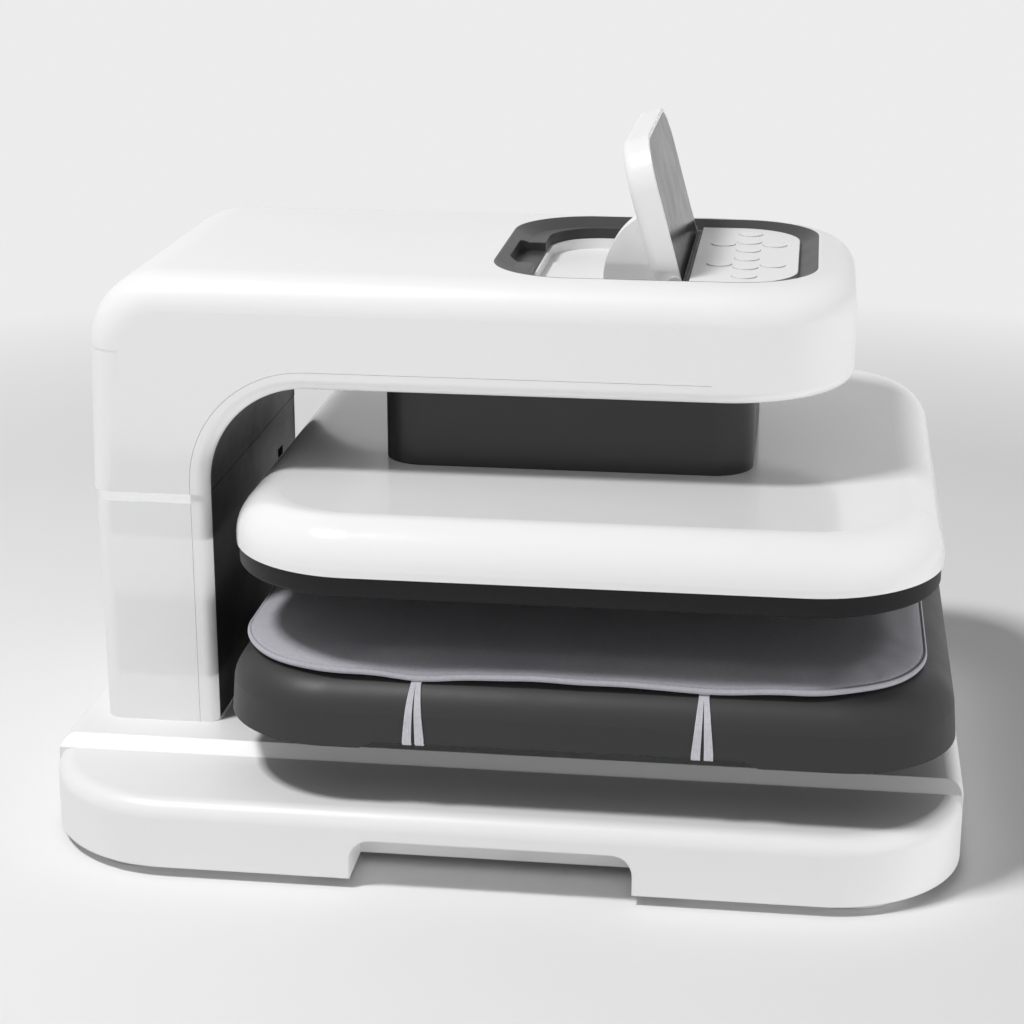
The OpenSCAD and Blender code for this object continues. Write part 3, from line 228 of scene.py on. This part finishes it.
# Control recess: a dark grey liner with a slanted border is set into the arm's top,
# with a white seat for the folded display and a white panel for the keys.
recess_grey = moulding("recess_grey", (0.036, 0.036, 0.0365), (0.031, 0.031, 0.0315), 0.42,
                       grain=900.0, grain_depth=0.00003, edge=0.0008, shine=0.35)
dress("recess_liner", recess_grey)
panel_white = moulding("panel_white", (0.81, 0.81, 0.81), (0.79, 0.79, 0.79), 0.30,
                       grain=1400.0, grain_depth=0.00001, edge=0.0006)
key_names = ["key_power", "key_mode", "key_up", "key_down"] + ["key_mid_%d" % i for i in range(1, 7)]
for name in ["display_seat", "button_panel"] + key_names:
    dress(name, panel_white)

# Display: a white plate that stands up on its hinge, with a hollow drum behind its foot,
# and a dark glass bonded over its whole face.
dress("display_frame", panel_white)
screen_glass = moulding("screen_glass", (0.010, 0.0102, 0.011), (0.012, 0.0122, 0.013), 0.16,
                        grain=60.0, grain_depth=0.000002, shine=0.08)
dress("display_glass", screen_glass)

# Platen: a glossy white cover on a dark skirt, round a coated aluminium plate with its mica heater.
# The grey neck on the cover slides up into the arm and hides the screw.
cover_white = moulding("white_gloss_cover", (0.82, 0.82, 0.82), (0.80, 0.80, 0.80), 0.17,
                       grain=26.0, grain_depth=0.00004, coat=0.5)
dress("platen_cover", cover_white)
neck_grey = moulding("neck_grey", (0.025, 0.025, 0.0253), (0.022, 0.022, 0.0223), 0.38,
                     grain=1000.0, edge=0.0008, shine=0.35)
dress("neck_shell", neck_grey)
skirt_dark = moulding("skirt_dark", (0.009, 0.009, 0.0092), (0.007, 0.007, 0.0072), 0.46,
                      grain=700.0, grain_depth=0.00004, shine=0.25)
dress("platen_skirt", skirt_dark)
plate_coat = moulding("plate_coating", (0.060, 0.060, 0.062), (0.048, 0.048, 0.050), 0.34, 1500.0, 0.00003)
dress("heating_plate", plate_coat)
mica = moulding("mica_sheet", (0.42, 0.30, 0.16), (0.33, 0.23, 0.12), 0.30, 240.0, 0.00006)
dress("heater_sheet", mica)
wool = moulding("mineral_board", (0.70, 0.66, 0.54), (0.60, 0.56, 0.45), 0.90, 330.0, 0.0004)
dress("insulation_board", wool)
dress("thermostat", black_plastic)

# Drawer: a dark grey tray with leaning sides on two steel runners, and a bare aluminium plate
# let into its top to carry the pad.
tray_grey = moulding("tray_grey", (0.031, 0.031, 0.0314), (0.027, 0.027, 0.0274), 0.48,
                     grain=850.0, grain_depth=0.00004, edge=0.0010, shine=0.35)
dress("tray_shell", tray_grey)
plate_bare = metal("plate_bare", (0.60, 0.605, 0.61), (0.54, 0.545, 0.55), 0.34, (1.0, 18.0, 1.0), 120.0)
dress("lower_plate", plate_bare)
for name in ("fixed_rails", "moving_rails"):
    dress(name, frame_steel)

# Pressing pad: woven cloth sewn round a sheet of foam, with a folded binding and one row of stitches
# along its edge. It lies on the bare plate, and the straps draw its long edges down a little.
pad_low, pad_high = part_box("pressing_pad")
pad_mid = (pad_low[0] + pad_high[0]) / 2
pad_half = (pad_high[0] - pad_low[0]) / 2
pad_floor, pad_crown = pad_low[2], pad_high[2]
pad_corner = 0.070
strap_low, strap_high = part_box("pad_straps")
strap_width = 0.005
strap_spread = 0.006
strap_mid = (strap_low[0] + strap_high[0]) / 2
strap_off = (strap_high[0] - strap_low[0] - strap_width - strap_spread) / 2
pull_depth = 0.0027
pull_width = 0.024
pull_reach = 0.024
swell = 0.0012
foam_pressure = 4.0
foam_frames = 20
# Slack of the edge between the straps: share of the pull, waves to the metre, start
slack_waves = ((0.12, 71.0, 0.0), (0.08, 143.0, 1.1))
foam_top = pad_crown - pad_floor - swell
# Edge of the pad as a tailor would draw it: distance in from the edge, share of the height
binding_rows = [(0.0, 0.24), (0.0004, 0.44), (0.0010, 0.53), (0.0016, 0.50), (0.0020, 0.42), (0.0026, 0.55)]
roll_rows = [(0.0040, 0.72), (0.0060, 0.84), (0.0090, 0.93), (0.0130, 0.98), (0.0180, 1.0), (0.0240, 1.0)]
under_rows = [(0.0006, 0.07), (0.0016, 0.0), (0.0060, 0.0), (0.0120, 0.0), (0.0220, 0.0)]
foam_lines = 24


def outline_point(share, half, corner):
    """Point on a square with round corners, at a share of the way round from the middle of its front side."""
    straight = half - corner
    arc = corner * math.pi / 2
    side = 2 * straight + arc
    turns, along = divmod(share % 1.0 * 4 * side, side)
    if along < straight:
        x, y = half, along
    elif along < straight + arc:
        angle = (along - straight) / corner
        x, y = straight + corner * math.cos(angle), straight + corner * math.sin(angle)
    else:
        x, y = side - along, half
    for _ in range(int(turns) % 4):
        x, y = -y, x
    return x, y


def pad_place(depth, share):
    """Point in plan at a depth inside the pad's edge and a share of the way round it."""
    return outline_point(share, pad_half - depth, pad_corner * (1 - depth / pad_half))


def strap_draw(x, y, depth):
    """How far the straps draw the pad's long edges down at a point."""
    if abs(y) < pad_half - pad_corner:
        return 0.0
    beside = abs(pad_mid + x - strap_mid) - strap_off
    fade = max(0.0, 1 - depth / pull_reach) ** 2
    ripple = sum(height * math.sin(x * waves + start) for height, waves, start in slack_waves)
    return pull_depth * fade * (math.exp(-(beside / pull_width) ** 2) + ripple)


edge_rows = binding_rows + roll_rows
last_depth = edge_rows[-1][0]
line_depths = [depth for depth, share in edge_rows]
line_depths += [last_depth + (pad_half - last_depth) * step / foam_lines for step in range(1, foam_lines)]
line_heights = [share for depth, share in edge_rows] + [1.0] * (foam_lines - 1)
lines_across = [depth / pad_half - 1 for depth in line_depths] + [0.0]
lines_across += [-value for value in reversed(lines_across[:-1])]
count = len(lines_across)
middle = count // 2
pad_points, pad_faces, hem_points = [], [], []
for row in range(count):
    for column in range(count):
        ring = min(row, column, count - 1 - row, count - 1 - column)
        if ring == middle:
            pad_points.append((pad_mid, 0.0, pad_floor + foam_top))
            continue
        u, v, m = lines_across[column], lines_across[row], -lines_across[ring]
        if column == count - 1 - ring and row != count - 1 - ring:
            share = v / m / 8
        elif row == count - 1 - ring:
            share = 1 / 4 - u / m / 8
        elif column == ring:
            share = 1 / 2 - v / m / 8
        else:
            share = 3 / 4 + u / m / 8
        depth = line_depths[ring]
        x, y = pad_place(depth, share)
        z = pad_floor + foam_top * line_heights[ring] - strap_draw(x, y, depth)
        if ring < len(binding_rows):
            hem_points.append(len(pad_points))
        pad_points.append((pad_mid + x, y, z))
for row in range(count - 1):
    for column in range(count - 1):
        first = row * count + column
        pad_faces.append((first, first + 1, first + count + 1, first + count))
# Underside: rings that turn in under the binding, then one flat face on the plate
rim = list(range(count)) + [row * count + count - 1 for row in range(1, count)]
rim += [(count - 1) * count + column for column in range(count - 2, -1, -1)]
rim += [row * count for row in range(count - 2, 0, -1)]
upper_ring = rim
for depth, share in under_rows:
    lower_ring = []
    for index in rim:
        x, y = pad_points[index][0] - pad_mid, pad_points[index][1]
        shrink = (pad_half - depth) / pad_half
        lower_ring.append(len(pad_points))
        hem_points.append(len(pad_points))
        draw = strap_draw(x, y, depth)
        pad_points.append((pad_mid + x * shrink, y * shrink, pad_floor + foam_top * share - draw))
    for index in range(len(rim)):
        after = (index + 1) % len(rim)
        pad_faces.append((upper_ring[index], lower_ring[index], lower_ring[after], upper_ring[after]))
    upper_ring = lower_ring
under_middle = len(pad_points)
hem_points.append(under_middle)
pad_points.append((pad_mid, 0.0, pad_floor))
for index in range(len(rim)):
    pad_faces.append((upper_ring[index], under_middle, upper_ring[(index + 1) % len(rim)]))

pad_mesh = bpy.data.meshes.new("pressing_pad_cloth")
pad_mesh.from_pydata(pad_points, [], pad_faces)
pad_mesh.polygons.foreach_set("use_smooth", [True] * len(pad_mesh.polygons))
pad_cloth = bpy.data.objects.new("pressing_pad_cloth", pad_mesh)
scene.collection.objects.link(pad_cloth)
hem_hold = pad_cloth.vertex_groups.new(name="hem_hold")
hem_hold.add(hem_points, 1.0, "REPLACE")
foam = pad_cloth.modifiers.new("foam_swell", "CLOTH")
foam.settings.use_pressure = True
foam.settings.uniform_pressure_force = foam_pressure
foam.settings.effector_weights.gravity = 0.0
foam.settings.vertex_group_mass = "hem_hold"
foam.settings.quality = 4
foam.point_cache.frame_start = 1
foam.point_cache.frame_end = foam_frames
for step in range(1, foam_frames + 1):
    scene.frame_set(step)
swollen = pad_cloth.evaluated_get(bpy.context.evaluated_depsgraph_get()).data
moved = [Vector(point.co) for point in swollen.vertices]
pad_cloth.modifiers.remove(foam)
scene.frame_set(1)
for point, after in zip(pad_mesh.vertices, moved):
    shift = after - point.co
    if shift.length > 1e-7:
        point.co += shift * (swell * math.tanh(shift.length / swell) / shift.length)
fineness = pad_cloth.modifiers.new("cloth_fineness", "SUBSURF")
fineness.levels = 1
fineness.render_levels = 1

# Radians to the metre in a wave pattern of scale one, grains of yarn to the metre,
# and the share of the weave in the tone
wave_rate = 20
yarn_grains = 420.0
weave_share = 0.35


def add_threads(tree, place, pitch, way):
    """Threads side by side, with so many metres between them, across X, Y or Z."""
    threads = tree.nodes.new("ShaderNodeTexWave")
    threads.bands_direction = way
    threads.inputs["Scale"].default_value = 2 * math.pi / (wave_rate * pitch)
    threads.inputs["Distortion"].default_value = 0.6
    threads.inputs["Detail"].default_value = 1.0
    threads.inputs["Detail Scale"].default_value = 0.4
    tree.links.new(place, threads.inputs["Vector"])
    return threads.outputs["Fac"]


def woven(name, tone, shade, pitch, depth, ways=("X", "Y")):
    """Woven cloth: crossing threads, yarn that varies in tone, and a soft nap."""
    finish, tree, shader, place = start_finish(name)
    cross = tree.nodes.new("ShaderNodeMath")
    cross.operation = "MAXIMUM"
    for socket, way in zip(cross.inputs, ways):
        tree.links.new(add_threads(tree, place, pitch, way), socket)
    yarn = add_noise(tree, place, yarn_grains, 4.0, 0.6)
    mottle = tree.nodes.new("ShaderNodeMath")
    mottle.operation = "MULTIPLY_ADD"
    mottle.inputs[1].default_value = weave_share
    tree.links.new(cross.outputs["Value"], mottle.inputs[0])
    tree.links.new(add_range(tree, yarn, 0.0, 1 - weave_share), mottle.inputs[2])
    tree.links.new(add_tones(tree, mottle.outputs["Value"], shade, tone), shader.inputs["Base Color"])
    tree.links.new(add_range(tree, yarn, 0.78, 0.92), shader.inputs["Roughness"])
    add_relief(tree, shader, cross.outputs["Value"], depth, 0.8)
    shader.inputs["Specular IOR Level"].default_value = 0.3
    shader.inputs["Sheen Weight"].default_value = 0.25
    shader.inputs["Sheen Roughness"].default_value = 0.5
    return finish


pad_weave = woven("pad_weave", (0.45, 0.44, 0.485), (0.37, 0.36, 0.40), 0.0009, 0.00012)
pad_mesh.materials.append(pad_weave)
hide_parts("pressing_pad")
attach(pad_cloth, "drawer")

# Stitches of the pad: one row of grey polyester thread, sunk in the groove above the binding.
# They lie at an even pitch, and each one dips into the cloth at both its ends.
stitch_pitch = 0.0034
stitch_length = 0.0026
stitch_radius = 0.00028
stitch_depth = binding_rows[4][0]
stitch_height = foam_top * binding_rows[4][1] + stitch_radius * 0.4
stitch_sides = 6
# Rings of a stitch: share of its length from the middle, share of its girth, dip in radii
stitch_rings = ((-0.5, 0.5, -0.8), (-0.3, 1.0, 0.0), (0.3, 1.0, 0.0), (0.5, 0.5, -0.8))
round_trip = 8 * (pad_half - pad_corner) + 2 * math.pi * pad_corner
stitches = int(round_trip / stitch_pitch)
thread_points, thread_faces = [], []


def seam_point(share):
    """Point on the row of stitches at a share of the way round the pad."""
    x, y = pad_place(stitch_depth, share)
    return Vector((pad_mid + x, y, pad_floor + stitch_height - strap_draw(x, y, stitch_depth)))


for number in range(stitches):
    share = number / stitches
    reach = stitch_length / round_trip / 2
    run = seam_point(share + reach) - seam_point(share - reach)
    side = run.cross(Vector((0, 0, 1))).normalized()
    lift = side.cross(run).normalized()
    start = len(thread_points)
    for step, girth, dip in stitch_rings:
        centre = seam_point(share) + run * step + lift * stitch_radius * dip
        for corner in range(stitch_sides):
            angle = 2 * math.pi * corner / stitch_sides
            spoke = side * math.cos(angle) + lift * math.sin(angle)
            thread_points.append(centre + spoke * stitch_radius * girth)
    for ring in range(len(stitch_rings) - 1):
        for corner in range(stitch_sides):
            a = start + ring * stitch_sides + corner
            b = start + ring * stitch_sides + (corner + 1) % stitch_sides
            thread_faces.append((a, b, b + stitch_sides, a + stitch_sides))
    thread_faces.append(tuple(start + corner for corner in reversed(range(stitch_sides))))
    last_ring = start + (len(stitch_rings) - 1) * stitch_sides
    thread_faces.append(tuple(last_ring + corner for corner in range(stitch_sides)))
thread_mesh = bpy.data.meshes.new("pad_stitches")
thread_mesh.from_pydata(thread_points, [], thread_faces)
thread_mesh.polygons.foreach_set("use_smooth", [True] * len(thread_mesh.polygons))
pad_stitches = bpy.data.objects.new("pad_stitches", thread_mesh)
scene.collection.objects.link(pad_stitches)
stitch_thread = woven("stitch_thread", (0.20, 0.195, 0.215), (0.14, 0.136, 0.15), 0.0004, 0.00005)
thread_mesh.materials.append(stitch_thread)
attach(pad_stitches, "drawer")

# Straps: two strands of flat ribbed elastic at each place, sewn together under the pad's edge.
# They spread over the tray's rounded edge, run down its side and turn in under its low edge.
tray_low, tray_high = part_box("tray_shell")
tray_half = (tray_high[1] - tray_low[1]) / 2
tray_lean = 0.003
tray_edge = 0.022
tray_cut = 0.004
strap_thick = 0.0010
strap_ribs = 4
strap_start = math.radians(74)
strap_foot = 0.0070
strap_waist = 0.56
strap_return = 0.014
strap_clear = 0.0002
strap_bend = 0.0016
strap_sway = 0.0004
strap_joined = 0.11
strap_parting = 0.58
strap_stations = 40
strap_step = 0.01
edge_steps = 12
turn_steps = 5
rib_steps = 6


def strap_route():
    """Side view of a strand: pairs of distance from the tray's middle line and height."""
    height = tray_high[2] - tray_low[2]
    slope = math.atan2(tray_lean, height)
    lift = strap_thick / 2 + strap_clear
    edge_y = tray_half - tray_lean * (height - tray_edge) / height - tray_edge
    edge_z = tray_high[2] - tray_edge
    route = []
    for step in range(edge_steps + 1):
        angle = strap_start + (slope - strap_start) * step / edge_steps
        reach = tray_edge + lift
        route.append((edge_y + reach * math.cos(angle), edge_z + reach * math.sin(angle)))
    low_z = tray_low[2] + tray_cut
    low_y = tray_half - tray_lean * tray_cut / height
    route.append((low_y + lift - strap_clear, low_z + strap_bend))
    turn_y = low_y + lift - strap_bend
    turn_z = low_z + strap_bend - lift
    for step in range(1, turn_steps + 1):
        angle = -math.pi / 2 * step / turn_steps
        route.append((turn_y + strap_bend * math.cos(angle), turn_z + strap_bend * math.sin(angle)))
    route.append((low_y - strap_return, low_z - lift))
    return route


def along_route(route, share):
    """Point at a share of the route's length."""
    lengths = [math.dist(a, b) for a, b in zip(route, route[1:])]
    left = share * sum(lengths)
    for (a, b), length in zip(zip(route, route[1:]), lengths):
        if left <= length or (a, b) == (route[-2], route[-1]):
            t = left / length
            return a[0] + (b[0] - a[0]) * t, a[1] + (b[1] - a[1]) * t
        left -= length


def strap_section():
    """Ribbed section of the elastic: pairs of place across and height above the middle."""
    steps = strap_ribs * rib_steps
    top = []
    for step in range(steps + 1):
        across = step / steps
        rib = abs(math.sin(math.pi * strap_ribs * across)) ** 0.7
        top.append((strap_width * (across - 0.5), strap_thick * (0.28 + 0.22 * rib)))
    return top + [(strap_width * 0.5, -strap_thick / 2), (-strap_width * 0.5, -strap_thick / 2)]


strap_weave = woven("strap_weave", (0.62, 0.61, 0.655), (0.50, 0.49, 0.53), 0.0007, 0.00014, ("Z", "Z"))
strap_line = strap_route()
section = strap_section()
strap_places = (("strap_near_rear", -1, -1), ("strap_near_front", 1, -1), ("strap_far_rear", -1, 1),
                ("strap_far_front", 1, 1))
for name, row, side in strap_places:
    points, faces = [], []
    for hand in (-1, 1):
        start = len(points)
        for station in range(strap_stations + 1):
            share = station / strap_stations
            y, z = along_route(strap_line, share)
            before = along_route(strap_line, max(0.0, share - strap_step))
            after = along_route(strap_line, min(1.0, share + strap_step))
            run = Vector((after[0] - before[0], after[1] - before[1])).normalized()
            outward = Vector((-run.y, run.x))
            spread = min(1.0, max(0.0, (share - strap_joined) / strap_parting))
            girth = strap_waist + (1 - strap_waist) * spread
            sway = hand * (strap_width * girth + (strap_foot - strap_width) * spread) / 2
            sway += strap_sway * row * math.sin(math.pi * share)
            for across, above in section:
                x = strap_mid + row * strap_off + sway + across * girth
                points.append((x, side * (y + outward.x * above), z + outward.y * above))
        size = len(section)
        for station in range(strap_stations):
            for corner in range(size):
                a = start + station * size + corner
                b = start + station * size + (corner + 1) % size
                quad = (a, b, b + size, a + size)
                faces.append(quad if side > 0 else quad[::-1])
        end = start + strap_stations * size
        cap = tuple(start + corner for corner in range(size))
        far_cap = tuple(end + corner for corner in reversed(range(size)))
        faces += [cap[::-1], far_cap[::-1]] if side > 0 else [cap, far_cap]
    strap_mesh = bpy.data.meshes.new(name)
    strap_mesh.from_pydata(points, [], faces)
    strap_mesh.materials.append(strap_weave)
    strap = bpy.data.objects.new(name, strap_mesh)
    scene.collection.objects.link(strap)
    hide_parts("pad_straps")
    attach(strap, "drawer")

# Floor: one plain pale sheet under the press. Near the press it takes the shadow as paper does,
# and further out it shows an even pale tone.
floor_tone = (0.84, 0.84, 0.84)
floor_half = 9.0
shadow_reach = (0.75, 1.35)
floor_mesh = bpy.data.meshes.new("studio_floor")
floor_corners = [(x * floor_half, y * floor_half, 0) for x, y in ((-1, -1), (1, -1), (1, 1), (-1, 1))]
floor_mesh.from_pydata(floor_corners, [], [(0, 1, 2, 3)])
floor = bpy.data.objects.new("studio_floor", floor_mesh)
scene.collection.objects.link(floor)


def add_seen(tree):
    """One for what the camera, a mirror or a glass sees, and nothing for the light on matt surfaces."""
    light_path = tree.nodes.new("ShaderNodeLightPath")
    seen = light_path.outputs["Is Camera Ray"]
    for way in ("Is Glossy Ray", "Is Transmission Ray"):
        either = tree.nodes.new("ShaderNodeMath")
        either.operation = "MAXIMUM"
        tree.links.new(seen, either.inputs[0])
        tree.links.new(light_path.outputs[way], either.inputs[1])
        seen = either.outputs["Value"]
    return seen


floor_paper, tree, shader, place = start_finish("floor_paper")
shader.inputs["Roughness"].default_value = 0.9
shader.inputs["Specular IOR Level"].default_value = 0.1
shader.inputs["Base Color"].default_value = (*floor_tone, 1.0)
pale = tree.nodes.new("ShaderNodeEmission")
pale.inputs["Color"].default_value = (*floor_tone, 1.0)
distance = tree.nodes.new("ShaderNodeVectorMath")
distance.operation = "LENGTH"
tree.links.new(place, distance.inputs[0])
outer = add_range(tree, distance.outputs["Value"], 0.0, 1.0, *shadow_reach)
far_out = tree.nodes.new("ShaderNodeMath")
far_out.operation = "MULTIPLY"
tree.links.new(outer, far_out.inputs[0])
tree.links.new(add_seen(tree), far_out.inputs[1])
blend = tree.nodes.new("ShaderNodeMixShader")
tree.links.new(far_out.outputs["Value"], blend.inputs["Fac"])
tree.links.new(shader.outputs["BSDF"], blend.inputs[1])
tree.links.new(pale.outputs["Emission"], blend.inputs[2])
tree.links.new(blend.outputs["Shader"], tree.nodes["Material Output"].inputs["Surface"])
floor_mesh.materials.append(floor_paper)

# Light: a soft box above on the left, a low strip in front and one at the drawer end, which light the walls
# as a pale floor does, and an even room that shows pale in glossy surfaces.
room_level = 0.28
room_tone = (0.84, 0.84, 0.84)
room = bpy.data.worlds.new("pale_room")
room.use_nodes = True
tree = room.node_tree
room_light = tree.nodes["Background"]
room_light.inputs["Color"].default_value = (1.0, 1.0, 1.0, 1.0)
room_light.inputs["Strength"].default_value = room_level
room_seen = tree.nodes.new("ShaderNodeBackground")
room_seen.inputs["Color"].default_value = (*room_tone, 1.0)
both = tree.nodes.new("ShaderNodeMixShader")
tree.links.new(add_seen(tree), both.inputs["Fac"])
tree.links.new(room_light.outputs["Background"], both.inputs[1])
tree.links.new(room_seen.outputs["Background"], both.inputs[2])
tree.links.new(both.outputs["Shader"], tree.nodes["World Output"].inputs["Surface"])
scene.world = room


def soft_box(name, place, aim, width, height, watts, mirrored=True):
    """Lamp behind a rectangular diffuser, which glossy surfaces may or may not mirror."""
    lamp = bpy.data.lights.new(name, "AREA")
    lamp.shape = "RECTANGLE"
    lamp.size = width
    lamp.size_y = height
    lamp.energy = watts
    box = bpy.data.objects.new(name, lamp)
    box.location = place
    box.rotation_euler = (Vector(aim) - Vector(place)).to_track_quat("-Z", "Y").to_euler()
    box.visible_glossy = mirrored
    scene.collection.objects.link(box)


strip_height = 0.07
strip_band = 0.12
soft_box("key_box", (-0.95, -0.75, 2.35), (0.0, 0.0, 0.25), 0.4, 0.4, 47.0)
soft_box("front_strip", (0.0, -2.2, strip_height), (0.0, 0.0, strip_height), 3.0, strip_band, 7.0, False)
soft_box("end_strip", (2.4, -0.5, strip_height), (0.0, -0.1, strip_height), 1.8, strip_band, 30.0, False)
